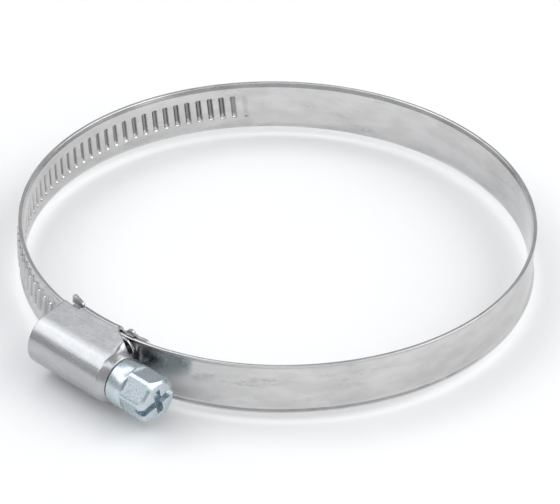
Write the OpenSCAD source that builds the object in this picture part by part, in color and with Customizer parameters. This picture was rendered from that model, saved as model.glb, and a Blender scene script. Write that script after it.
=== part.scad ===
// Worm-drive hose clamp, lying on its edge.
// The origin is the centre of the clamped circle at half the band's width, +Z is the ring's axis,
// the housing sits at -Y and the screw's head points along +X.

/* [Ring] */
// Radius of the circle that the clamp closes on
ring_r = 41.2; // [38:0.1:46]
// Width of the band along the ring's axis
band_w = 9; // [9:0.1:9.5]
// Thickness of the band's sheet
band_t = 0.6; // [0.5:0.05:0.6]
// Running gap between the stacked strips inside the housing
strip_gap = 0.05; // [0.04:0.01:0.06]

/* [Thread of the band] */
// Distance from rib to rib along the band
rib_pitch = 2.06; // [2:0.01:2.1]
// How far a rib stands out of the band
rib_h = 0.55; // [0.4:0.05:0.6]
// Width of a rib at its foot
rib_w = 0.9; // [0.7:0.05:1]
// Length of a rib across the band
rib_l = 4.2; // [3.6:0.1:4.6]
// Number of ribs, counted from the tail's tip back along the ring
rib_count = 52; // [40:1:52]

/* [Band chain] */
// Number of rigid links that stand for the flexible band
link_count = 12; // [12:1:12]
// Gap between two links
link_gap = 0.04; // [0.03:0.01:0.06]
// Gap at the open end, between the last link and the tail
open_gap = 0.6; // [0.56:0.02:0.64]

/* [Bridge] */
// Thickness of the bridge plate
bridge_t = 0.5; // [0.4:0.05:0.5]
// How far the bridge's lugs reach from the middle of the band
lug_reach = 6.3; // [5.6:0.1:6.4]

/* [Housing] */
// Radius of the housing's barrel on its outside
barrel_r = 4.55; // [4.5:0.05:4.7]
// Sheet thickness of the housing
barrel_t = 0.8; // [0.7:0.05:0.85]
// Where the barrel ends, towards the tail side
barrel_back = -6.9; // [-7:0.1:-6.8]
// Where the barrel starts to taper, towards the screw's head
barrel_front = 8.2; // [8:0.1:8.4]
// Where the tapered neck ends
neck_x = 9.7; // [9.6:0.05:9.8]
// Radius of the neck's outer edge
neck_r = 3.85; // [3.7:0.05:3.9]

/* [Screw] */
// Radius over the worm's thread
worm_r = 3.3; // [3.2:0.05:3.35]
// Radius of the worm's core
core_r = 2.45; // [2.4:0.05:2.5]
// Radius of the round collar behind the head
collar_r = 3.9; // [3.8:0.05:3.95]
// Width across the flats of the hexagon head
hex_af = 7; // [7:0.1:7]
// Where the hexagon starts
hex_back = 12.95; // [12.8:0.05:13]
// Where the hexagon ends
hex_front = 17.7; // [17.4:0.1:18]
// Width of the screwdriver slot
slot_w = 1.3; // [1.2:0.05:1.4]
// Depth of the screwdriver slot
slot_d = 1.7; // [1.5:0.1:1.8]

/* [Hidden] */
$fn = 96;
eps = 0.01;

// Radii of the stacked strips inside the housing, from the inside out
fixed_r = ring_r + bridge_t + 0.02;
tail_r = fixed_r + band_t + strip_gap;
rib_top_r = tail_r + band_t + rib_h;

// Angle at the ring's centre between two ribs, and the worm's pitch where it meets them
rib_step = rib_pitch / (tail_r + band_t / 2) * 180 / PI;
mesh_r = tail_r + band_t + rib_h / 2;
worm_pitch = rib_step * PI / 180 * mesh_r;
worm_axis = tail_r + band_t + strip_gap + worm_r;
mesh_shaft_r = worm_axis - mesh_r;
rib_lean = atan(worm_pitch / (2 * PI * mesh_shaft_r));

// Angles around the ring, counted from +X and on past 360 where the band closes on itself
housing_at = 270;
anchor_from = 262.05;
fold_angle = 0.75;
anchor_to = 290;
tail_from = 360 + housing_at - 17 * rib_step;
tail_to = 360 + 281;
first_rib = 360 + housing_at + 4.5 * rib_step;
fading_ribs = 2;

function along(a) = [cos(a), sin(a)];
// Half of the change of radius that two equal and opposite arcs need to move outward by rise
function bow(rise, span) = rise / (2 * (1 - cos(span / 2)));

// The band comes down to the clamped circle over the first two links and climbs back over the last four
link_angle = (tail_from - anchor_to) / link_count;
circle_from = anchor_to + 2 * link_angle;
circle_until = tail_from - 4 * link_angle;
in_mid = anchor_to + link_angle;
out_mid = tail_from - 2 * link_angle;
step_in = bow(fixed_r - ring_r, circle_from - anchor_to);
step_out = bow(tail_r - ring_r, tail_from - circle_until);

// The band's inner face as tangent arcs: [from, to, radius, centre]
ARCS = [
    [anchor_from, anchor_to, fixed_r, [0, 0]],
    [anchor_to, in_mid, fixed_r - step_in, step_in * along(anchor_to)],
    [in_mid, circle_from, ring_r + step_in, -step_in * along(circle_from)],
    [circle_from, circle_until, ring_r, [0, 0]],
    [circle_until, out_mid, ring_r + step_out, -step_out * along(circle_until)],
    [out_mid, tail_from, tail_r - step_out, step_out * along(tail_from)],
    [tail_from, tail_to, tail_r, [0, 0]]
];

function arc_at(a) = [for (g = ARCS) if (a >= g[0] - eps && a <= g[1] + eps) g][0];

// A stretch of the band between two angles, from one depth in the sheet to another
module strip(from, to, inner = 0, outer = band_t, width = band_w)
    for (g = ARCS)
        let (a = max(from, g[0]), b = min(to, g[1]))
            if (b - a > 0.001)
                translate(g[3])
                    rotate(a)
                        rotate_extrude(angle = b - a)
                            translate([g[2] + inner, -width / 2])
                                square([outer - inner, width]);

// Places its children on the band's inner face at an angle: X outward, Y along the band
module on_band(a) {
    g = arc_at(a);
    translate(g[3])
        rotate(a)
            translate([g[2], 0, 0])
                children();
}

// A straight bar across the band that leans with the worm's thread
module leaning_bar(foot, tip, length, height)
    rotate([-rib_lean, 0, 0])
        translate([0, 0, -length / 2])
            linear_extrude(length)
                polygon([[0, -foot / 2], [height, -tip / 2], [height, tip / 2], [0, foot / 2]]);

// The height of rib number i; the last ones of the row fade out
function rib_height(i) = rib_h * min(1, (rib_count - i) / (fading_ribs + 1));
function rib_at(i) = first_rib - i * rib_step;
function ribs_between(from, to) = [for (i = [0 : rib_count - 1]) if (rib_at(i) > from && rib_at(i) < to) i];

module thread_ribs(rows)
    for (i = rows)
        on_band(rib_at(i))
            translate([band_t - 0.1, 0, 0])
                leaning_bar(rib_w, rib_w * 0.65, rib_l, rib_height(i) + 0.1);

// The pressed hollows behind the ribs
module thread_hollows(rows)
    for (i = rows)
        on_band(rib_at(i))
            translate([-0.2, 0, 0])
                leaning_bar(rib_w * 0.75, rib_w * 0.3, rib_l - 0.5, rib_height(i) + 0.2);

// Ribs that lean over the end of a stretch are cut off just before it
module band_stretch(from, to) {
    margin = 0.04;
    rows = ribs_between(from, to);
    if (len(rows) == 0)
        strip(from, to);
    else
        difference() {
            union() {
                strip(from, to);
                intersection() {
                    thread_ribs(rows);
                    strip(from + margin, to - margin, band_t / 2, band_t + 2 * rib_h, rib_l + 2);
                }
            }
            thread_hollows(rows);
        }
}

module band_link(i)
    color("gainsboro")
        let (to = anchor_to + i * link_angle, gap = i == link_count ? open_gap : link_gap)
            band_stretch(to - link_angle, to - gap / ring_r * 180 / PI);

// The end that stays in the housing, folded inward over the bridge's back edge
module band_anchor_end()
    color("silver") {
        side = band_w / 2 - 0.6;
        strip(anchor_from, anchor_to - link_gap / ring_r * 180 / PI);
        rotate(anchor_from + 0.02)
            rotate_extrude(angle = fold_angle - 0.04)
                translate([ring_r, -side])
                    square([fixed_r + band_t / 2 - ring_r, 2 * side]);
    }

// The threaded end that the worm pulls through the housing; its tip has rounded corners
module band_tail()
    color("gainsboro")
        intersection() {
            band_stretch(tail_from, tail_to);
            union() {
                tip = (tail_r + band_t) * sin(tail_to - 360 - housing_at) - 0.3;
                corner = 2.2;
                translate([-60, -60, -band_w / 2])
                    cube([60, 80, band_w]);
                translate([0, -30, 0])
                    rotate([90, 0, 0])
                        linear_extrude(30) {
                            translate([-1, -band_w / 2])
                                square([tip - corner + 1, band_w]);
                            translate([-1, -band_w / 2 + corner])
                                square([tip + 1, band_w - 2 * corner]);
                            for (side = [-1, 1])
                                translate([tip - corner, side * (band_w / 2 - corner)])
                                    circle(corner);
                        }
            }
        }

// The plate between the clamped hose and the band's end, with four lugs that hold the housing;
// the lugs are offset outward, so only the plate itself lies on the clamped circle
module bridge()
    color("darkgray")
        intersection() {
            rotate(housing_at - 12)
                rotate_extrude(angle = 29)
                    bridge_section();
            translate([0, -30, 0])
                rotate([90, 0, 0])
                    linear_extrude(30)
                        bridge_outline();
        }

module bridge_section() {
    plate_half = band_w / 2 + 0.1;
    lug_in = ring_r + bridge_t + 0.01;
    half = [[ring_r, plate_half], [lug_in, plate_half + 0.25], [lug_in, 7], [lug_in + bridge_t, 7],
            [lug_in + bridge_t, plate_half], [ring_r + bridge_t, plate_half]];
    polygon(concat(half, [for (i = [len(half) - 1 : -1 : 0]) [half[i][0], -half[i][1]]]));
}

module bridge_outline() {
    foot_from = -3.2;
    foot_to = 4.9;
    back = ring_r * sin(anchor_from + fold_angle - housing_at) + 0.05;
    front = 10.2;
    corner = 1.5;
    half_w = 4.4;
    half_w_at_feet = 3.5;
    // lug in the housing's notch
    back_lug = [[-4.9, half_w], [-4.9, half_w + 0.35], [-6, half_w + 0.35], [-6, lug_reach - 0.5],
                [-5.9, lug_reach - 0.2], [-5.6, lug_reach], [-5.2, lug_reach], [-3.7, lug_reach - 0.4],
                [-3.4, lug_reach - 0.6], [-3.3, lug_reach - 0.9], [-3.3, half_w]];
    // lug past the housing's foot
    front_lug = [for (t = [-90 : 15 : 90]) [6.8 + 0.7 * sin(t), 5 + 0.7 * cos(t)]];
    half = concat(
        [[back, half_w]], back_lug, [[foot_from, half_w], [foot_from, half_w_at_feet],
        [foot_to, half_w_at_feet], [foot_to, half_w], [6.1, half_w]], front_lug, [[7.5, half_w]],
        [for (t = [0 : 15 : 90]) [front - corner + corner * sin(t), half_w - corner + corner * cos(t)]]);
    polygon(concat(half, [for (i = [len(half) - 1 : -1 : 0]) [half[i][0], -half[i][1]]]));
}

// Section of the housing across the screw, drawn with X outward from the ring's centre:
// a round barrel on two walls that spread towards the band
module housing_section(r, half_w) {
    translate([worm_axis, 0])
        circle(r);
    polygon([[38, -half_w], [worm_axis, -0.96 * r], [worm_axis, 0.96 * r], [38, half_w]]);
}

// Extrudes a section drawn outward from the ring's centre, along the screw
module along_screw(from, to)
    translate([from, 0, 0])
        rotate([0, 90, 0])
            linear_extrude(to - from)
                rotate(-90)
                    children();

// A round body on the screw's axis from a profile of [distance along the screw, radius]
module on_screw(profile)
    translate([0, -worm_axis, 0])
        rotate([0, 90, 0])
            rotate_extrude()
                polygon([for (p = profile) [p[1], p[0]]]);

module housing()
    color("gray") {
        side_in = band_w / 2 + 0.1;
        side_out = side_in + barrel_t;
        neck_hole = core_r + 0.35;
        tip_hole = 2.25;
        inner_r = barrel_r - barrel_t;
        difference() {
            union() {
                along_screw(barrel_back, barrel_front)
                    housing_section(barrel_r, side_out);
                on_screw([[barrel_front, 0], [barrel_front, barrel_r - 0.01], [neck_x, neck_r], [neck_x, 0]]);
            }
            // the hollow for the worm and the strips
            along_screw(barrel_back + barrel_t, barrel_front - 0.2)
                housing_section(inner_r, side_in);
            on_screw([[barrel_front - 0.3, 0], [barrel_front - 0.3, inner_r - 0.02],
                      [neck_x - barrel_t, neck_r - barrel_t + 0.1], [neck_x - barrel_t, 0]]);
            // holes for the screw's tip and its neck
            on_screw([[barrel_back - 1, 0], [barrel_back - 1, tip_hole], [barrel_back + 2, tip_hole],
                      [barrel_back + 2, 0]]);
            on_screw([[neck_x - 2, 0], [neck_x - 2, neck_hole], [neck_x + 1, neck_hole], [neck_x + 1, 0]]);
            // the way of the band through both ends
            translate([0, 0, -side_in + 0.02])
                cylinder(r = rib_top_r + 0.2, h = 2 * side_in - 0.04);
            // the walls end just outside the clamped circle, where the feet take over
            translate([0, 0, -10])
                cylinder(r = ring_r + bridge_t - 0.05, h = 20);
            // notch at the back and slanted corner at the front of each wall
            translate([0, 0, -10])
                linear_extrude(20) {
                    polygon([[-9, -42.5], [-3.8, -42.8], [-3.4, -42.65], [-3.2, -42.3], [-3.2, -36], [-9, -36]]);
                    polygon([[4.8, -36], [4.8, -42.2], [7.6, -43.7], [14, -44.2], [14, -36]]);
                }
        }
        housing_feet();
    }

// The walls' lower edges, folded inward under the band beside the bridge
module housing_feet() {
    foot_in = ring_r + 0.01;
    foot_out = ring_r + bridge_t;
    side_in = band_w / 2 + 0.1;
    foot = [[foot_in, 3.6], [foot_in, side_in - 0.05], [foot_out + 0.02, side_in + 0.3],
            [foot_out + 0.2, side_in + 0.3], [foot_out + 0.2, side_in], [foot_out, side_in], [foot_out, 3.6]];
    intersection() {
        rotate(housing_at - 8)
            rotate_extrude(angle = 24)
                for (side = [-1, 1])
                    polygon([for (p = foot) [p[0], side * p[1]]]);
        translate([-3.15, -60, -10])
            cube([7.95, 60, 20]);
    }
}

module worm_screw()
    color("lightsteelblue") {
        thread_from = -4.4;
        thread_to = 6.3;
        shoulder_r = worm_r - 0.1;
        tip_r = 2.2;
        slot_turn = 12;
        cross_l = 4.4;
        journal_r = core_r + 0.3;
        difference() {
            union() {
                on_screw([[barrel_back - 0.3, 0], [barrel_back - 0.3, tip_r - 0.3], [barrel_back, tip_r],
                          [thread_from - 0.7, tip_r], [thread_from - 0.7, core_r],
                          [thread_to + 0.8, core_r], [thread_to + 0.8, shoulder_r],
                          [neck_x - barrel_t - 0.9, shoulder_r],
                          [neck_x - barrel_t - 0.5, journal_r], [neck_x + 0.1, journal_r],
                          [neck_x + 0.1, collar_r - 0.3], [neck_x + 0.4, collar_r], [hex_back, collar_r],
                          [hex_back, 0]]);
                hexagon_head();
                worm_thread(thread_from, thread_to);
            }
            // screwdriver slot and the short cross cut
            translate([hex_front - slot_d, -worm_axis, 0])
                rotate([slot_turn, 0, 0]) {
                    translate([0, -6, -slot_w / 2])
                        cube([slot_d + 1, 12, slot_w]);
                    translate([0, -slot_w / 2, -cross_l / 2])
                        cube([slot_d + 1, slot_w, cross_l]);
                }
        }
    }

module hexagon_head()
    intersection() {
        corner_r = hex_af / (2 * cos(30));
        translate([hex_back - eps, -worm_axis, 0])
            rotate([0, 90, 0])
                rotate(20)
                    cylinder(r = corner_r, h = hex_front - hex_back + eps, $fn = 6);
        on_screw([[hex_back - 0.1, 0], [hex_back - 0.1, corner_r + 0.3], [hex_front - 1, corner_r + 0.3],
                  [hex_front, hex_af / 2 - 0.35], [hex_front, 0]]);
    }

// The right-hand thread as a swept ridge; a crest points at the ring's centre at X = 0
module worm_thread(from, to) {
    steps_per_turn = 30;
    foot = worm_pitch * 0.42;
    crest = worm_pitch * 0.24;
    root_r = core_r - 0.2;
    count = ceil((to - from) / worm_pitch * steps_per_turn);
    function corner(k, dx, r) =
        let (x = from + (to - from) * k / count, a = 360 * x / worm_pitch)
            [x + dx, r * cos(a) - worm_axis, r * sin(a)];
    points = [for (k = [0 : count]) each [
        corner(k, -foot / 2, root_r),
        corner(k, -crest / 2, worm_r),
        corner(k, crest / 2, worm_r),
        corner(k, foot / 2, root_r)
    ]];
    sides = [for (k = [0 : count - 1]) for (j = [0 : 3])
        [4 * k + j, 4 * k + (j + 1) % 4, 4 * k + 4 + (j + 1) % 4, 4 * k + 4 + j]];
    polyhedron(points, concat([[3, 2, 1, 0]], sides, [[for (j = [0 : 3]) 4 * count + j]]), convexity = 12);
}

housing();
bridge();
band_anchor_end();
band_link(1);  // band_link_01
band_link(2);  // band_link_02
band_link(3);  // band_link_03
band_link(4);  // band_link_04
band_link(5);  // band_link_05
band_link(6);  // band_link_06
band_link(7);  // band_link_07
band_link(8);  // band_link_08
band_link(9);  // band_link_09
band_link(10);  // band_link_10
band_link(11);  // band_link_11
band_link(12);  // band_link_12
band_tail();
worm_screw();
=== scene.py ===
"""The looks of a worm-drive hose clamp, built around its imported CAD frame.

Lengths are in millimetres; the mesh helpers turn them into metres.
"""

import math

import bmesh
import bpy
import numpy as np
from mathutils import Matrix, Vector


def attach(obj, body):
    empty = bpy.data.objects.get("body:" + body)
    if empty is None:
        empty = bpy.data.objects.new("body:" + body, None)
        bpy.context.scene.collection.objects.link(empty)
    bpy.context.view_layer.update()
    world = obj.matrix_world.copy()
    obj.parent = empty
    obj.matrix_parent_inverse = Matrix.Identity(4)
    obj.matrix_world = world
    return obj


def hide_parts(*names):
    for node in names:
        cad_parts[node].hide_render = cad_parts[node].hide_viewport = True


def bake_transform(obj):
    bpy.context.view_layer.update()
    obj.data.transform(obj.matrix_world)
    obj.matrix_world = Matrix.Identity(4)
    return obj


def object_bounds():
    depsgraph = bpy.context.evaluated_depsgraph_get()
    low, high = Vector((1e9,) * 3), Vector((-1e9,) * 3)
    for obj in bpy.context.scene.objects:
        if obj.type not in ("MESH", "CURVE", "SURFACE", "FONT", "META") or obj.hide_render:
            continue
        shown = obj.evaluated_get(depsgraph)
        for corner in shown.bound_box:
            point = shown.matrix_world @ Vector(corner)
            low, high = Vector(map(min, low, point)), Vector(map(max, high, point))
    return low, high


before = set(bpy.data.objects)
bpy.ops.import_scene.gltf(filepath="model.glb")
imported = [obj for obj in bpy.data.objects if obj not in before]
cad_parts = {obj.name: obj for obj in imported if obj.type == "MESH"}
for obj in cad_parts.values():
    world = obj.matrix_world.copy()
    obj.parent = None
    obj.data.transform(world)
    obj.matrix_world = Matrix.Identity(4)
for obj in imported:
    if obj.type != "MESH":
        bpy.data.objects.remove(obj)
cad_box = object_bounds()

MM = 0.001

# The ring, as part.scad lays it out
RING_R = 41.2
BAND_W = 9.0
BAND_T = 0.6
BRIDGE_T = 0.5
FIXED_R = RING_R + BRIDGE_T + 0.02
TAIL_R = FIXED_R + BAND_T + 0.05
RIB_PITCH = 2.06
RIB_H = 0.55
RIB_COUNT = 52
FADING_RIBS = 2
RIB_STEP = math.degrees(RIB_PITCH / (TAIL_R + BAND_T / 2))
HOUSING_AT = 270.0
ANCHOR_FROM = 262.2
ANCHOR_TO = 290.0
TAIL_FROM = 360 + HOUSING_AT - 17 * RIB_STEP
TAIL_TO = 360 + 281.0
LINKS = 12
LINK_ANGLE = (TAIL_FROM - ANCHOR_TO) / LINKS
CIRCLE_FROM = ANCHOR_TO + 2 * LINK_ANGLE
CIRCLE_UNTIL = TAIL_FROM - 4 * LINK_ANGLE
FIRST_RIB = 360 + HOUSING_AT + 4.5 * RIB_STEP
MESH_R = TAIL_R + BAND_T + RIB_H / 2
WORM_PITCH = math.radians(RIB_STEP) * MESH_R
WORM_R = 3.3
CORE_R = 2.45
AXIS_N = TAIL_R + BAND_T + 0.05 + WORM_R
RIB_LEAN = WORM_PITCH / (2 * math.pi * (AXIS_N - MESH_R))

# The lips along the band's edges
LIP_W = 0.85
LIP_H = 0.3


# ---------------------------------------------------------------- mesh helpers

def smooth_step(t):
    t = min(1.0, max(0.0, t))
    return t * t * (3 - 2 * t)


def make_object(name, verts_mm, faces, smooth_angle=35, strip=None):
    """A mesh object from millimetre points; strip is the (along, across, side) value of each point."""
    mesh = bpy.data.meshes.new(name)
    mesh.from_pydata([tuple(c * MM for c in v) for v in verts_mm], [], faces)
    mesh.validate()
    if strip is not None:
        layer = mesh.attributes.new("strip", "FLOAT_VECTOR", "POINT")
        layer.data.foreach_set("vector", np.array(strip, np.float32).ravel())
    obj = bpy.data.objects.new(name, mesh)
    bpy.context.scene.collection.objects.link(obj)
    fix_normals(obj)
    smooth_by_angle(obj, smooth_angle)
    return obj


def fix_normals(obj):
    bm = bmesh.new()
    bm.from_mesh(obj.data)
    bmesh.ops.recalc_face_normals(bm, faces=bm.faces)
    bm.to_mesh(obj.data)
    bm.free()


def smooth_by_angle(obj, degrees):
    obj.data.shade_smooth()
    obj.data.set_sharp_from_angle(angle=math.radians(degrees))


def grid_faces(rows, cols, wrap_cols=False, start=0):
    """Quads of a grid of points stored row by row."""
    faces = []
    for i in range(rows - 1):
        for j in range(cols if wrap_cols else cols - 1):
            k = (j + 1) % cols
            faces.append((start + i * cols + j, start + i * cols + k,
                          start + (i + 1) * cols + k, start + (i + 1) * cols + j))
    return faces


def bevel(obj, width, segments=2, angle=30):
    """Rounds the sharp edges of a piece for good."""
    modifier = obj.modifiers.new("edge", "BEVEL")
    modifier.width = width * MM
    modifier.segments = segments
    modifier.limit_method = "ANGLE"
    modifier.angle_limit = math.radians(angle)
    modifier.use_clamp_overlap = True
    apply_modifiers(obj)
    smooth_by_angle(obj, 40)


def apply_modifiers(obj):
    depsgraph = bpy.context.evaluated_depsgraph_get()
    mesh = bpy.data.meshes.new_from_object(obj.evaluated_get(depsgraph))
    obj.modifiers.clear()
    obj.data = mesh


def join(name, parts):
    """One object from several."""
    bm = bmesh.new()
    for part in parts:
        bm.from_mesh(part.data)
        bpy.data.objects.remove(part)
    mesh = bpy.data.meshes.new(name)
    bm.to_mesh(mesh)
    bm.free()
    obj = bpy.data.objects.new(name, mesh)
    bpy.context.scene.collection.objects.link(obj)
    smooth_by_angle(obj, 40)
    return obj


def cut(obj, cutters):
    for cutter in cutters:
        modifier = obj.modifiers.new("cut", "BOOLEAN")
        modifier.operation = "DIFFERENCE"
        modifier.solver = "EXACT"
        modifier.object = cutter
    apply_modifiers(obj)
    for cutter in cutters:
        bpy.data.objects.remove(cutter)


# ---------------------------------------------------------------- the band's path

def along(a):
    return np.array([math.cos(math.radians(a)), math.sin(math.radians(a))])


def bow(rise, span):
    return rise / (2 * (1 - math.cos(math.radians(span) / 2)))


STEP_IN = bow(FIXED_R - RING_R, CIRCLE_FROM - ANCHOR_TO)
STEP_OUT = bow(TAIL_R - RING_R, TAIL_FROM - CIRCLE_UNTIL)
NO_SHIFT = np.zeros(2)
# (until, radius of the inner face, centre)
ARCS = [
    (ANCHOR_TO, FIXED_R, NO_SHIFT),
    (ANCHOR_TO + LINK_ANGLE, FIXED_R - STEP_IN, STEP_IN * along(ANCHOR_TO)),
    (CIRCLE_FROM, RING_R + STEP_IN, -STEP_IN * along(CIRCLE_FROM)),
    (CIRCLE_UNTIL, RING_R, NO_SHIFT),
    (TAIL_FROM - 2 * LINK_ANGLE, RING_R + STEP_OUT, -STEP_OUT * along(CIRCLE_UNTIL)),
    (TAIL_FROM, TAIL_R - STEP_OUT, STEP_OUT * along(TAIL_FROM)),
    (TAIL_TO + 1, TAIL_R, NO_SHIFT),
]


def arc_at(a):
    return next(g for g in ARCS if a <= g[0] + 1e-6)


def band_point(a, depth, z):
    """A point of the band: depth 0 is its inner face, BAND_T its outer one."""
    _, radius, centre = arc_at(a)
    x, y = centre + (radius + depth) * along(a)
    return x, y, z


def length_at(a):
    """Length along the band's inner face from the fixed end."""
    total, last = 0.0, ANCHOR_FROM
    for until, radius, _ in ARCS:
        stop = min(a, until)
        total += radius * math.radians(max(0.0, stop - last))
        last = until
        if a <= until:
            break
    return total


# ---------------------------------------------------------------- the band

EDGE_ROWS = [0.0, 0.04, 0.12, 0.25, 0.42, 0.6, 0.75, 0.87, 1.0, 1.25]
RIB_ROWS = 34


def rows_across():
    """Heights across the band, dense where the ribs and the lips are."""
    half = BAND_W / 2
    outer = [half - e for e in EDGE_ROWS]
    middle = [2.9, 2.6, 2.4]
    rib_half = 2.28
    ribs = list(np.linspace(rib_half, -rib_half, RIB_ROWS))
    return outer + middle + ribs + [-z for z in reversed(middle)] + [-z for z in reversed(outer)]


ROWS = rows_across()


def lip(z):
    """How far the sheet stands outward near its edges."""
    d = (abs(z) - (BAND_W / 2 - LIP_W)) / LIP_W
    return LIP_H * smooth_step(d) if d > 0 else 0.0


def half_thickness(z):
    """The sheet's edge is rounded over the last tenth of a millimetre."""
    d = BAND_W / 2 - abs(z)
    edge = 0.14
    if d >= edge:
        return BAND_T / 2
    return BAND_T / 2 - 0.13 * (1 - math.sqrt(max(0.0, 1 - (1 - d / edge) ** 2)))


def rib_bump(a, z, foot, crest, half_l):
    """How far the pressed rib pushes the sheet out at this place, from 0 to RIB_H."""
    i = round((FIRST_RIB - a) / RIB_STEP)
    best = 0.0
    for k in (i - 1, i, i + 1):
        if k < 0 or k >= RIB_COUNT:
            continue
        height = RIB_H * min(1.0, (RIB_COUNT - k) / (FADING_RIBS + 1))
        off = math.radians(a - (FIRST_RIB - k * RIB_STEP)) * (RING_R + BAND_T) - z * RIB_LEAN
        side = smooth_step((foot - abs(off)) / (foot - crest))
        end = smooth_step((half_l - abs(z)) / 0.38)
        best = max(best, height * side * end)
    return best


def stations(start, stop):
    """Angles of the cross sections; a short first and last step keeps the shading even at a seam."""
    last_rib = FIRST_RIB - (RIB_COUNT - 0.4) * RIB_STEP
    fine, coarse, seam = RIB_STEP / 20, 0.6, 0.02
    out, a = [start], start + seam
    while a < stop - seam:
        out.append(a)
        near_ribs = last_rib - coarse < a < FIRST_RIB + RIB_STEP
        a += fine if near_ribs else coarse
    return out + [stop - seam, stop]


def tip_half_width(a):
    """The tail's tip has round corners."""
    corner = 2.2
    left = math.radians(TAIL_TO - a) * (TAIL_R + BAND_T)
    if a < TAIL_FROM or left > corner:
        return BAND_W / 2
    return BAND_W / 2 - corner + math.sqrt(max(0.0, corner**2 - (corner - left) ** 2))


def band_span(name, start, stop):
    """A closed stretch of the band between two angles."""
    angles = stations(start, stop)
    verts, strip = [], []
    cols = 2 * len(ROWS)
    for a in angles:
        length = length_at(a)
        squeeze = tip_half_width(a) / (BAND_W / 2)
        for z in ROWS:
            bump = rib_bump(a, z, 0.6, 0.12, 2.26)
            verts.append(band_point(a, BAND_T / 2 + half_thickness(z) + lip(z) + bump, z * squeeze))
            strip.append((length, z, 1 + bump / RIB_H))
        for z in reversed(ROWS):
            bump = rib_bump(a, z, 0.58, 0.14, 2.2)
            verts.append(band_point(a, BAND_T / 2 - half_thickness(z) + lip(z) + bump, z * squeeze))
            strip.append((length, z, -bump / RIB_H))
    faces = grid_faces(len(angles), cols, wrap_cols=True)
    for row in (0, len(angles) - 1):
        for j in range(len(ROWS) - 1):
            faces.append((row * cols + j, row * cols + j + 1,
                          row * cols + cols - 2 - j, row * cols + cols - 1 - j))
    return make_object(name, verts, faces, 50, strip)


def build_band(material):
    """The strip as spans cut halfway along the links, so that each span reaches across one joint."""
    middles = [ANCHOR_TO + (i + 0.5) * LINK_ANGLE for i in range(LINKS)]
    cuts = [ANCHOR_FROM] + middles
    bodies = ["clamp_body"] + [f"band_link_{i + 1:02d}" for i in range(LINKS)]
    nodes = ["band_anchor_end"] + bodies[1:]
    for i in range(LINKS):
        span = band_span(f"band_span_{i + 1:02d}", cuts[i], cuts[i + 1])
        finish_piece(span, material)
        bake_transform(span)
        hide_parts(nodes[i])
    last = band_span("band_span_13", cuts[-1], TAIL_FROM)
    finish_piece(last, material)
    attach(last, bodies[-1])
    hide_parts(nodes[-1])
    tail = band_span("band_tail_strip", TAIL_FROM, TAIL_TO)
    finish_piece(tail, material)
    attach(tail, "tail")
    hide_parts("band_tail")
    fold = anchor_fold()
    finish_piece(fold, material)
    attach(fold, "clamp_body")


def anchor_fold():
    """The fixed end's edge, folded over the bridge."""
    profile = [(0.0, 0.05), (0.06, 0.0), (FIXED_R - RING_R + 0.1, 0.0), (FIXED_R - RING_R + 0.45, 0.12),
               (FIXED_R - RING_R + BAND_T - 0.05, 0.4), (FIXED_R - RING_R + BAND_T - 0.05, 0.6),
               (FIXED_R - RING_R, 0.6), (0.05, 0.6), (0.0, 0.55)]
    verts, strip = [], []
    half = BAND_W / 2 - 0.6
    for z in (-half, -half + 0.1, half - 0.1, half):
        for depth, offset in profile:
            a = ANCHOR_FROM + math.degrees((offset - BAND_T - 0.02) / RING_R)
            x, y = (RING_R + depth) * along(a)
            verts.append((x, y, z))
            strip.append((offset, z, 0.0))
    faces = grid_faces(4, len(profile), wrap_cols=True)
    faces.append(tuple(range(len(profile))))
    faces.append(tuple(3 * len(profile) + j for j in range(len(profile))))
    return make_object("band_anchor_fold", verts, faces, 40, strip)


# ---------------------------------------------------------------- the housing

SHEET = 0.8
BARREL_R = 4.55
BACK_X = -6.9
FRONT_X = 8.2
NECK_X = 9.7
NECK_R = 3.85
SIDE_Z = 5.4
FOOT_FROM = -3.15
FOOT_TO = 4.75
BEND_R = RING_R + 1.0
HALF_POINTS = 40


def wall_end(x):
    """Distance from the ring's centre line at which the housing's wall ends."""
    foot = math.sqrt(BEND_R**2 - x**2)
    notch = 42.5 + 0.1 * (x - BACK_X)
    slant = 42.2 + 0.54 * (x - FOOT_TO)
    corner = 0.6
    if x < FOOT_FROM:
        return notch - (notch - foot) * smooth_step((x - FOOT_FROM + corner) / corner)
    if x <= FOOT_TO:
        return foot
    return min(max(foot, slant), 43.8)


def half_outline(x):
    """Outer half of the section at x, from the top of the barrel to the wall's end: a list of (n, z)."""
    end = wall_end(x)
    corner_n, corner_z = 41.2, SIDE_Z
    reach = math.hypot(corner_n - AXIS_N, corner_z)
    touch = math.atan2(corner_z, corner_n - AXIS_N) - math.acos(BARREL_R / reach)
    on_circle = int(HALF_POINTS * 0.6)
    box = []
    for j in range(on_circle):
        t = touch * j / (on_circle - 1)
        box.append((AXIS_N + BARREL_R * math.cos(t), BARREL_R * math.sin(t)))
    start = box[-1]
    slope = (corner_z - start[1]) / (corner_n - start[0])
    for j in range(1, HALF_POINTS - on_circle + 1):
        n = start[0] + (end - start[0]) * j / (HALF_POINTS - on_circle)
        box.append((n, start[1] + slope * (n - start[0])))
    morph = smooth_step((x - FRONT_X + 0.7) / 1.2)
    if morph == 0:
        return box
    taper = max(0.0, (x - FRONT_X) / (NECK_X - FRONT_X))
    r = BARREL_R + (NECK_R - BARREL_R) * taper ** 1.25
    last = math.acos(max(-1.0, min(1.0, (max(end, AXIS_N - r * 0.8) - AXIS_N) / r)))
    ring = [(AXIS_N + r * math.cos(last * j / (HALF_POINTS - 1)), r * math.sin(last * j / (HALF_POINTS - 1)))
            for j in range(HALF_POINTS)]
    return [(a[0] + (b[0] - a[0]) * morph, a[1] + (b[1] - a[1]) * morph) for a, b in zip(box, ring)]


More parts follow.
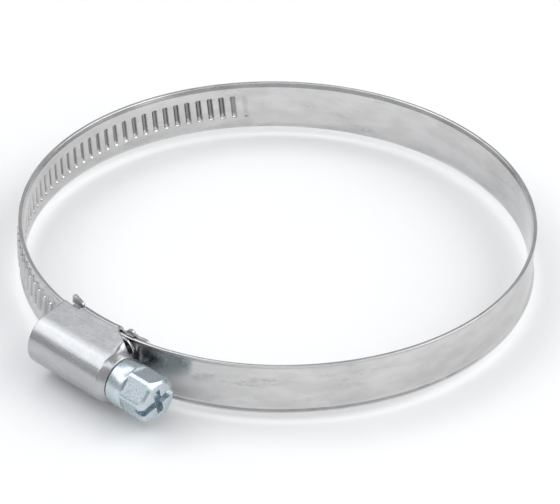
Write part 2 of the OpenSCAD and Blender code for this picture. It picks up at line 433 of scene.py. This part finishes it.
def inward(points, distance):
    """The same outline moved towards its inside."""
    pts = np.array(points)
    step = np.gradient(pts, axis=0)
    normal = np.stack([step[:, 1], -step[:, 0]], 1)
    normal /= np.linalg.norm(normal, axis=1)[:, None]
    return pts + normal * distance


def housing_shell():
    """Barrel, walls and tapered neck as one bent sheet."""
    xs = list(np.linspace(BACK_X, FOOT_FROM - 0.65, 16)) + list(np.linspace(FOOT_FROM - 0.6, FOOT_FROM, 12))
    xs += list(np.linspace(FOOT_FROM + 0.02, FOOT_TO, 26)) + list(np.linspace(FOOT_TO + 0.15, NECK_X, 40))
    verts = []
    for x in xs:
        half = np.array(half_outline(x))
        outer = np.concatenate([half[::-1], half[1:] * [1, -1]])
        inner = inward(outer, SHEET)
        loop = [(x, -n, z) for n, z in outer] + [(x, -n, z) for n, z in inner[::-1]]
        verts += loop
    cols = len(loop)
    faces = grid_faces(len(xs), cols, wrap_cols=True)
    side = cols // 2
    for row in (0, len(xs) - 1):
        for j in range(side - 1):
            faces.append((row * cols + j, row * cols + j + 1,
                          row * cols + cols - 2 - j, row * cols + cols - 1 - j))
    shell = make_object("housing_shell", verts, faces)
    bevel(shell, 0.16, 3, 40)
    return shell


def housing_foot(side):
    """The lower edge of one wall, bent round and folded under the band."""
    outer = [(BEND_R + 0.25, SIDE_Z - 0.03)]
    outer += [(BEND_R - math.sin(t), SIDE_Z - 1 + math.cos(t)) for t in np.linspace(0, math.pi / 2, 10)]
    outer += [(RING_R + 0.01, 4.0), (RING_R + 0.01, 3.62)]
    inner = [(RING_R + BRIDGE_T, 3.62), (RING_R + BRIDGE_T, 4.1), (RING_R + BRIDGE_T + 0.03, 4.4)]
    inner += [(RING_R + 0.65, 4.56), (BEND_R - 0.1, 4.62), (BEND_R + 0.25, 4.62)]
    profile = outer + inner
    xs = np.linspace(FOOT_FROM, FOOT_TO, 24)
    verts = []
    for x in xs:
        for r, z in profile:
            verts.append((x, -math.sqrt(r * r - x * x), side * z))
    faces = grid_faces(len(xs), len(profile), wrap_cols=True)
    faces.append(tuple(range(len(profile))))
    faces.append(tuple((len(xs) - 1) * len(profile) + j for j in range(len(profile))))
    foot = make_object(f"housing_foot_{'up' if side > 0 else 'down'}", verts, faces)
    bevel(foot, 0.1, 2, 50)
    return foot


def end_plate(name, x_from, x_to, outline_r, hole_r, low_n):
    """A plate across the barrel with a round hole for the screw."""
    count = 72
    open_angle = math.acos((low_n - AXIS_N) / outline_r)
    ts = np.linspace(-open_angle, open_angle, count)
    verts = []
    for x in (x_from, x_to):
        for t in ts:
            verts.append((x, -(AXIS_N + outline_r * math.cos(t)), outline_r * math.sin(t)))
        for t in ts:
            verts.append((x, -(AXIS_N + hole_r * math.cos(t)), hole_r * math.sin(t)))
    faces = []
    b = 2 * count
    for j in range(count - 1):
        o, h = j, count + j
        faces += [(o, o + 1, h + 1, h), (b + h, b + h + 1, b + o + 1, b + o),
                  (o, b + o, b + o + 1, o + 1), (h + 1, b + h + 1, b + h, h)]
    faces += [(0, count, b + count, b), (count - 1, b + count - 1, b + 2 * count - 1, 2 * count - 1)]
    plate = make_object(name, verts, faces)
    bevel(plate, 0.12, 2, 50)
    return plate


def build_housing(material):
    parts = [housing_shell(), housing_foot(1), housing_foot(-1),
             end_plate("back_plate", BACK_X + 0.12, BACK_X + SHEET, BARREL_R - 0.3, 2.25, AXIS_N - 2.9),
             end_plate("neck_plate", NECK_X - SHEET, NECK_X - 0.06, NECK_R - 0.2, 2.8, AXIS_N - 2.95)]
    housing = join("housing_body", parts)
    finish_piece(housing, material)
    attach(housing, "clamp_body")
    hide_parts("housing")


# ---------------------------------------------------------------- the bridge

def build_bridge(material):
    """The CAD plate with its edges rounded."""
    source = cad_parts["bridge"]
    mesh = source.data.copy()
    bridge = bpy.data.objects.new("bridge_plate", mesh)
    bpy.context.scene.collection.objects.link(bridge)
    mesh.materials.clear()
    bm = bmesh.new()
    bm.from_mesh(mesh)
    bmesh.ops.remove_doubles(bm, verts=bm.verts, dist=1e-6)
    bmesh.ops.dissolve_limit(bm, angle_limit=math.radians(1.5), verts=bm.verts, edges=bm.edges)
    bm.to_mesh(mesh)
    bm.free()
    bevel(bridge, 0.1, 2, 40)
    finish_piece(bridge, material)
    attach(bridge, "clamp_body")
    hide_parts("bridge")


# ---------------------------------------------------------------- the screw

HEX_AF = 7.0
HEX_BACK = 12.95
HEX_FRONT = 17.7
HEX_TURN = 20.0
COLLAR_R = 3.9
TIP_R = 2.2
JOURNAL_R = 2.75
SHOULDER_R = WORM_R - 0.1
SLOT_W = 1.3
SLOT_D = 1.7
SLOT_TURN = 12.0
CROSS_L = 4.4


def around_screw(x, r, t):
    """A point at distance r from the screw's axis; t is 0 towards the ring's centre and grows towards +Z."""
    return x, -AXIS_N + r * math.cos(t), r * math.sin(t)


def lathe(name, profile, count=96):
    """A body of revolution on the screw's axis from (x, r) points, closed at both ends."""
    verts = []
    for x, r in profile:
        verts += [around_screw(x, r, 2 * math.pi * j / count) for j in range(count)]
    faces = grid_faces(len(profile), count, wrap_cols=True)
    faces.append(tuple(range(count)))
    faces.append(tuple((len(profile) - 1) * count + j for j in range(count)))
    return make_object(name, verts, faces, 30)


def hexagon(turn):
    """The hexagon head with a turned chamfer, as a height field round the axis."""
    count = 240
    apothem = HEX_AF / 2
    corner = apothem / math.cos(math.pi / 6)
    round_r = 0.28

    def flat_r(t):
        u = (t - turn + math.pi / 6) % (math.pi / 3) - math.pi / 6
        full = apothem / math.cos(u)
        limit = corner - round_r * 0.5
        return min(full, limit - 0.6 * round_r * (abs(u) - math.pi / 6) ** 2)

    xs = [HEX_BACK - 0.05, HEX_BACK, HEX_BACK + 0.1, HEX_BACK + 0.3]
    xs += list(np.linspace(HEX_BACK + 0.6, HEX_FRONT - 1.15, 6))
    xs += list(np.linspace(HEX_FRONT - 1.1, HEX_FRONT, 26))
    verts = []
    for x in xs:
        back = corner - 0.1 + (x - HEX_BACK) * 0.9
        down = x - (HEX_FRONT - 1.05)
        front = corner + 0.05 - 0.9 * max(0.0, down) / 1.05
        for j in range(count):
            t = 2 * math.pi * j / count
            verts.append(around_screw(x, min(flat_r(t), max(back, 3.6), front), t))
    rim = len(xs) - 1
    verts += [around_screw(HEX_FRONT + 0.06, 2.75, 2 * math.pi * j / count) for j in range(count)]
    verts += [around_screw(HEX_FRONT + 0.06, 1.2, 2 * math.pi * j / count) for j in range(count)]
    faces = grid_faces(rim + 3, count, wrap_cols=True)
    faces.append(tuple(range(count)))
    faces.append(tuple((rim + 2) * count + j for j in range(count)))
    return make_object("hexagon", verts, faces, 24)


def slab(name, size, turn):
    """A block that cuts a groove into the head's front face."""
    bpy.ops.mesh.primitive_cube_add(size=1)
    obj = bpy.context.object
    obj.name = name
    obj.data.transform(Matrix.Diagonal((*[s * MM for s in size], 1)))
    obj.data.transform(Matrix.Rotation(math.radians(turn), 4, "X"))
    obj.data.transform(Matrix.Translation(Vector((HEX_FRONT + 0.06, -AXIS_N, 0)) * MM))
    bevel(obj, 0.12, 2, 30)
    return obj


def worm():
    """Core and right-hand thread as one height field."""
    start, stop = -5.0, 7.05
    xs = np.arange(start, stop + 0.01, 0.07)
    count = 96
    verts = []
    for x in xs:
        fade = min(1.0, max(0.0, min((x + 4.7) / 0.5, (6.6 - x) / 0.5)))
        for j in range(count):
            t = 2 * math.pi * j / count
            off = (x - WORM_PITCH * t / (2 * math.pi) + WORM_PITCH / 2) % WORM_PITCH - WORM_PITCH / 2
            ridge = smooth_step((0.46 - abs(off)) / 0.24)
            verts.append(around_screw(x, CORE_R + (WORM_R - CORE_R) * ridge * fade, t))
    faces = grid_faces(len(xs), count, wrap_cols=True)
    faces.append(tuple(range(count)))
    faces.append(tuple((len(xs) - 1) * count + j for j in range(count)))
    return make_object("worm", verts, faces, 60)


def build_screw(material):
    tip = lathe("tip", [(BACK_X - 0.3, 0.6), (BACK_X - 0.3, TIP_R - 0.4), (BACK_X - 0.2, TIP_R - 0.25),
                        (BACK_X, TIP_R), (-4.95, TIP_R)])
    shank = lathe("shank", [(6.9, 2.0), (7.0, SHOULDER_R - 0.1), (7.15, SHOULDER_R), (7.9, SHOULDER_R),
                            (8.05, SHOULDER_R - 0.08), (8.4, JOURNAL_R), (NECK_X + 0.2, JOURNAL_R)])
    collar_back = NECK_X + 0.08
    collar = lathe("collar", [(collar_back, 2.0), (collar_back, COLLAR_R - 0.3),
                              (collar_back + 0.06, COLLAR_R - 0.15), (collar_back + 0.17, COLLAR_R - 0.04),
                              (collar_back + 0.32, COLLAR_R), (HEX_BACK - 0.25, COLLAR_R),
                              (HEX_BACK - 0.09, COLLAR_R - 0.04), (HEX_BACK + 0.05, COLLAR_R - 0.12),
                              (HEX_BACK + 0.05, 2.0)])
    head = hexagon(math.radians(HEX_TURN))
    cut(head, [slab("slot", (2 * SLOT_D, 12, SLOT_W), SLOT_TURN),
               slab("cross", (2 * SLOT_D, SLOT_W, CROSS_L), SLOT_TURN)])
    bevel(head, 0.08, 2, 35)
    screw = join("screw_body", [tip, worm(), shank, collar, head])
    finish_piece(screw, material)
    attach(screw, "screw")
    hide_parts("worm_screw")


# ---------------------------------------------------------------- materials

class Shader:
    """A short way to write a node material."""

    def __init__(self, name):
        self.material = bpy.data.materials.new(name)
        self.material.use_nodes = True
        self.tree = self.material.node_tree
        self.tree.nodes.clear()
        self.out = self.add("ShaderNodeOutputMaterial")
        self.bsdf = self.add("ShaderNodeBsdfPrincipled")
        self.link(self.bsdf.outputs["BSDF"], self.out.inputs["Surface"])

    def add(self, kind, **values):
        node = self.tree.nodes.new(kind)
        for key, value in values.items():
            if hasattr(node, key) and key not in node.inputs:
                setattr(node, key, value)
            else:
                node.inputs[key.replace("_", " ")].default_value = value
        return node

    def link(self, a, b):
        self.tree.links.new(a, b)

    def coordinates(self, scale, strip=False):
        """Millimetre coordinates of the piece: along, across and depth for the strip, else X, Y and Z."""
        if strip:
            source = self.add("ShaderNodeAttribute", attribute_name="strip").outputs["Vector"]
            unit = 1.0
        else:
            source = self.add("ShaderNodeTexCoord").outputs["Object"]
            unit = 1 / MM
        node = self.add("ShaderNodeMapping")
        node.inputs["Scale"].default_value = [s * unit for s in scale]
        self.link(source, node.inputs["Vector"])
        return node.outputs["Vector"]

    def strip_parts(self):
        """Height across the strip, and its side: under 0 in a hollow, over 1 on a rib."""
        source = self.add("ShaderNodeAttribute", attribute_name="strip")
        split = self.add("ShaderNodeSeparateXYZ")
        self.link(source.outputs["Vector"], split.inputs["Vector"])
        return split.outputs["Y"], split.outputs["Z"]

    def noise(self, vector, scale=1.0, detail=4.0, roughness=0.55):
        node = self.add("ShaderNodeTexNoise", Scale=scale, Detail=detail, Roughness=roughness)
        self.link(vector, node.inputs["Vector"])
        return node.outputs["Fac"]

    def ramp(self, value, low, high, to_low=0.0, to_high=1.0):
        node = self.add("ShaderNodeMapRange")
        node.interpolation_type = "SMOOTHSTEP"
        for name, number in zip(("From Min", "From Max", "To Min", "To Max"), (low, high, to_low, to_high)):
            node.inputs[name].default_value = number
        self.link(value, node.inputs["Value"])
        return node.outputs["Result"]

    def mix(self, factor, a, b):
        node = self.add("ShaderNodeMix", data_type="RGBA")
        self.link(factor, node.inputs["Factor"])
        for socket, value in ((node.inputs[6], a), (node.inputs[7], b)):
            if isinstance(value, tuple):
                socket.default_value = (*value, 1)
            else:
                self.link(value, socket)
        return node.outputs[2]

    def math(self, operation, a, b):
        node = self.add("ShaderNodeMath", operation=operation)
        for socket, value in zip(node.inputs, (a, b)):
            if isinstance(value, (int, float)):
                socket.default_value = value
            else:
                self.link(value, socket)
        return node.outputs[0]

    def bump(self, height, strength, distance_mm):
        node = self.add("ShaderNodeBump", Strength=strength, Distance=distance_mm * MM)
        self.link(height, node.inputs["Height"])
        self.link(node.outputs["Normal"], self.bsdf.inputs["Normal"])


def band_material():
    """Cold-rolled strip: fine lines along it, grey stains, and painted shade in the hollows and on the rib
    flanks.
    """
    s = Shader("band_steel_look")
    lines = s.noise(s.coordinates((0.06, 9, 0), True), 1.0, 3.0)
    blotch = s.noise(s.coordinates((0.16, 0.42, 0.4), True), 1.0, 5.0, 0.6)
    stain = s.noise(s.coordinates((0.07, 0.3, 0.7), True), 1.0, 6.0, 0.68)
    speck = s.noise(s.coordinates((0.9, 1.6, 0), True), 1.0, 2.0)
    stained = s.ramp(stain, 0.54, 0.7)
    clean = s.mix(s.ramp(blotch, 0.35, 0.65), (0.57, 0.565, 0.56), (0.66, 0.655, 0.65))
    dirty = s.mix(s.ramp(speck, 0.4, 0.6), (0.34, 0.34, 0.33), (0.5, 0.5, 0.49))
    sheet = s.mix(s.math("MULTIPLY", stained, 0.55), clean, dirty)
    across, side = s.strip_parts()
    # Painted shade: the pressed hollows of the inner face (kept bright towards their lower end) and, at half
    # strength, the rib flanks of the outer face are mixed towards dark grey (0.2).
    hollow = s.math("MULTIPLY", s.ramp(side, -0.15, -0.75), s.ramp(across, -1.75, -1.3))
    ridge = s.math("MULTIPLY", s.ramp(side, 1.7, 1.2), s.ramp(side, 1.0, 1.15))
    painted_shade = s.math("MAXIMUM", hollow, s.math("MULTIPLY", ridge, 0.5))
    s.link(s.mix(s.math("MULTIPLY", painted_shade, 0.8), sheet, (0.2, 0.2, 0.205)), s.bsdf.inputs["Base Color"])
    rough = s.math("ADD", s.ramp(blotch, 0.3, 0.7, 0.15, 0.26), s.math("MULTIPLY", stained, 0.1))
    s.link(rough, s.bsdf.inputs["Roughness"])
    s.bsdf.inputs["Metallic"].default_value = 1.0
    s.bump(s.math("ADD", lines, s.math("MULTIPLY", blotch, 1.5)), 0.12, 0.02)
    return s.material


def housing_material():
    """Pressed stainless sheet: satin grey with drawing lines along the barrel and soft mottling."""
    s = Shader("housing_steel_look")
    lines = s.noise(s.coordinates((0.12, 4.0, 4.0)), 1.0, 4.0)
    mottle = s.noise(s.coordinates((0.35, 0.6, 0.6)), 1.0, 4.0, 0.6)
    fine = s.noise(s.coordinates((2.2, 3.5, 3.5)), 1.0, 3.0)
    tone = s.mix(s.ramp(mottle, 0.35, 0.65), (0.46, 0.463, 0.475), (0.51, 0.512, 0.52))
    s.link(s.mix(s.math("MULTIPLY", s.ramp(fine, 0.5, 0.75), 0.35), tone, (0.42, 0.42, 0.43)),
           s.bsdf.inputs["Base Color"])
    s.link(s.ramp(mottle, 0.3, 0.7, 0.22, 0.28), s.bsdf.inputs["Roughness"])
    s.bsdf.inputs["Metallic"].default_value = 1.0
    s.bump(s.math("ADD", lines, s.math("MULTIPLY", fine, 0.8)), 0.4, 0.04)
    return s.material


def bridge_material():
    """Darker rolled sheet."""
    s = Shader("bridge_steel_look")
    lines = s.noise(s.coordinates((0.2, 5.0, 5.0)), 1.0, 4.0)
    mottle = s.noise(s.coordinates((0.5, 0.5, 0.5)), 1.0, 4.0)
    tone = s.mix(s.ramp(mottle, 0.35, 0.65), (0.42, 0.42, 0.43), (0.55, 0.55, 0.55))
    s.link(tone, s.bsdf.inputs["Base Color"])
    s.link(s.ramp(mottle, 0.3, 0.7, 0.24, 0.36), s.bsdf.inputs["Roughness"])
    s.bsdf.inputs["Metallic"].default_value = 1.0
    s.bump(lines, 0.2, 0.02)
    return s.material


def zinc_material():
    """Blue-passivated zinc: pale, slightly green and violet by turns, with a fine orange-peel skin."""
    s = Shader("screw_zinc_look")
    tint = s.noise(s.coordinates((0.3, 0.3, 0.3)), 1.0, 3.0, 0.6)
    peel = s.noise(s.coordinates((2.6, 2.6, 2.6)), 1.0, 3.0)
    cool = s.mix(s.ramp(tint, 0.35, 0.65), (0.52, 0.62, 0.63), (0.60, 0.65, 0.71))
    s.link(cool, s.bsdf.inputs["Base Color"])
    s.link(s.ramp(peel, 0.3, 0.7, 0.2, 0.34), s.bsdf.inputs["Roughness"])
    s.bsdf.inputs["Metallic"].default_value = 1.0
    s.bump(peel, 0.3, 0.04)
    return s.material


def finish_piece(obj, material):
    obj.data.materials.clear()
    obj.data.materials.append(material)


# ---------------------------------------------------------------- the stage

VIEW_AZIMUTH = 42.6
VIEW_ELEVATION = 34.3
VIEW_ROLL = 1.34
VIEW_DISTANCE = 562.6
VIEW_RIGHT = 0.11
VIEW_UP = 2.44
LENS_MM = 218.7


def view_axes(azimuth, elevation):
    """Right, up and back of a camera that looks at the origin."""
    a, e = math.radians(azimuth), math.radians(elevation)
    right = Vector((math.cos(a), math.sin(a), 0))
    back = Vector((math.sin(a) * math.cos(e), -math.cos(a) * math.cos(e), math.sin(e)))
    return right, back.cross(right), back


def build_camera():
    right, up, back = view_axes(VIEW_AZIMUTH, VIEW_ELEVATION)
    roll = math.radians(VIEW_ROLL)
    right_r = right * math.cos(roll) + up * math.sin(roll)
    up_r = up * math.cos(roll) - right * math.sin(roll)
    data = bpy.data.cameras.new("camera")
    data.lens = LENS_MM
    data.clip_end = 10
    camera = bpy.data.objects.new("camera", data)
    bpy.context.scene.collection.objects.link(camera)
    place = (back * VIEW_DISTANCE - right * VIEW_RIGHT - up * VIEW_UP) * MM
    turn = Matrix((right_r, up_r, back)).transposed().to_4x4()
    camera.matrix_world = Matrix.Translation(place) @ turn
    bpy.context.scene.camera = camera


def area_light(name, azimuth, elevation, distance, size, power, colour=(1, 1, 1)):
    """A soft box that faces the clamp; the azimuth is counted like the camera's."""
    back = view_axes(azimuth, elevation)[2]
    data = bpy.data.lights.new(name, "AREA")
    data.shape = "RECTANGLE"
    data.size, data.size_y = size
    data.energy = power
    data.color = colour
    light = bpy.data.objects.new(name, data)
    light.location = back * distance
    light.rotation_euler = back.to_track_quat("Z", "Y").to_euler()
    bpy.context.scene.collection.objects.link(light)


def build_stage():
    floor_z = cad_box[0].z
    bpy.ops.mesh.primitive_plane_add(size=4, location=(0, 0, floor_z))
    floor = bpy.context.object
    floor.name = "floor"
    s = Shader("floor_paper")
    grain = s.noise(s.coordinates((0.05, 0.05, 0.05)), 1.0, 2.0)
    s.link(s.mix(grain, (0.96, 0.96, 0.96), (0.98, 0.98, 0.98)), s.bsdf.inputs["Base Color"])
    s.bsdf.inputs["Roughness"].default_value = 0.9
    s.bsdf.inputs["Specular IOR Level"].default_value = 0.1
    floor.data.materials.append(s.material)

    world = bpy.data.worlds.new("studio")
    world.use_nodes = True
    world.node_tree.nodes["Background"].inputs["Color"].default_value = (0.8, 0.81, 0.83, 1)
    world.node_tree.nodes["Background"].inputs["Strength"].default_value = 0.62
    bpy.context.scene.world = world

    area_light("key_box", VIEW_AZIMUTH - 15, 64, 1.3, (1.9, 0.42), 3.2, (0.95, 0.96, 1))
    area_light("back_box", VIEW_AZIMUTH - 143, 60, 1.2, (0.9, 0.4), 1.7, (0.96, 0.98, 1))
    area_light("left_box", VIEW_AZIMUTH - 95, 42, 1.2, (1.3, 0.5), 3.0, (0.96, 0.98, 1))
    area_light("right_box", VIEW_AZIMUTH + 85, 40, 1.2, (1.3, 0.9), 6.5)
    bpy.context.scene.view_settings.view_transform = "Standard"


# ---------------------------------------------------------------- all together

build_camera()
build_stage()
build_band(band_material())
build_housing(housing_material())
build_bridge(bridge_material())
build_screw(zinc_material())

bpy.context.view_layer.update()
